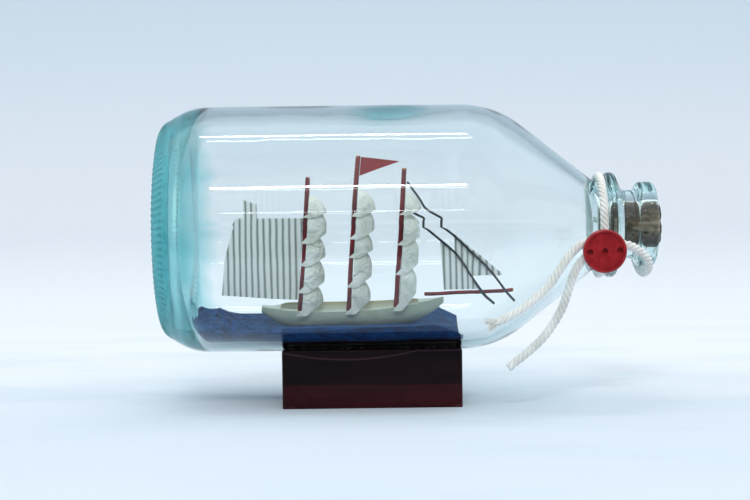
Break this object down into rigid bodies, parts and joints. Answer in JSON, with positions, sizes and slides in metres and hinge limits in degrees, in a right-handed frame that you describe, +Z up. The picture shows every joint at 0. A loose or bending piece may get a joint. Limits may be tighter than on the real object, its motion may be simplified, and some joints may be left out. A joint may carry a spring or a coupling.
{
  "type": "ship in a bottle",
  "caption": "Corked glass bottle lying on a wooden cradle block, with a three-masted paper-sailed ship on a clay sea inside and a twine bow with a button at the neck.",
  "frame": {"origin": "bottom centre of the object: on the surface that the block stands on, under the middle of the bottle with its cork", "axes": "+X along the bottle from its base to its mouth, +Y across it away from the button, +Z up"},
  "size_m": [0.1414, 0.07, 0.085],
  "materials": {
    "black_thread": "black thread",
    "blue_clay": "modelling clay",
    "bottle_glass": "clear pale aqua, polished",
    "cork": "agglomerated cork, matt",
    "cotton_twine": "three-strand cotton",
    "cream_paper": "cream",
    "glue": "clear glue",
    "grey_hull": "painted grey-cream",
    "maroon_wood": "dark maroon gloss varnish",
    "red_paint": "red paint",
    "red_paper": "red paper",
    "red_plastic": "red, glossy",
    "striped_paper": "cream with thin dark stripes"
  },
  "bodies": {
    "bottle": {"bowsprit": "red_paint", "clay_sea": "blue_clay", "cradle_block": "maroon_wood", "cradle_glue": "glue", "fore_mast": "red_paint", "fore_sail_1": "cream_paper", "fore_sail_2": "cream_paper", "fore_sail_3": "cream_paper", "fore_sail_4": "cream_paper", "glass_bottle": "bottle_glass", "inner_jib": "striped_paper", "inner_stay": "black_thread", "main_mast": "red_paint", "main_sail_1": "cream_paper", "main_sail_2": "cream_paper", "main_sail_3": "cream_paper", "main_sail_4": "cream_paper", "main_sail_5": "cream_paper", "mizzen_mast": "red_paint", "mizzen_sail_1": "cream_paper", "mizzen_sail_2": "cream_paper", "mizzen_sail_3": "cream_paper", "mizzen_sail_4": "cream_paper", "mizzen_sail_5": "cream_paper", "outer_jib": "striped_paper", "outer_stay": "black_thread", "pennant": "red_paper", "red_button": "red_plastic", "ship_hull": "grey_hull", "spanker_sail": "striped_paper", "twine_front_tail": "cotton_twine", "twine_hanging_tail": "cotton_twine", "twine_knot": "cotton_twine", "twine_lip_strand": "cotton_twine", "twine_ring": "cotton_twine"},
    "stopper": {"cork_stopper": "cork"}
  },
  "joints": [
    {"name": "cork_pull", "type": "slide", "parent": "bottle", "child": "stopper", "axis": [1, 0, 0], "range_m": [0, 0.016]}
  ]
}
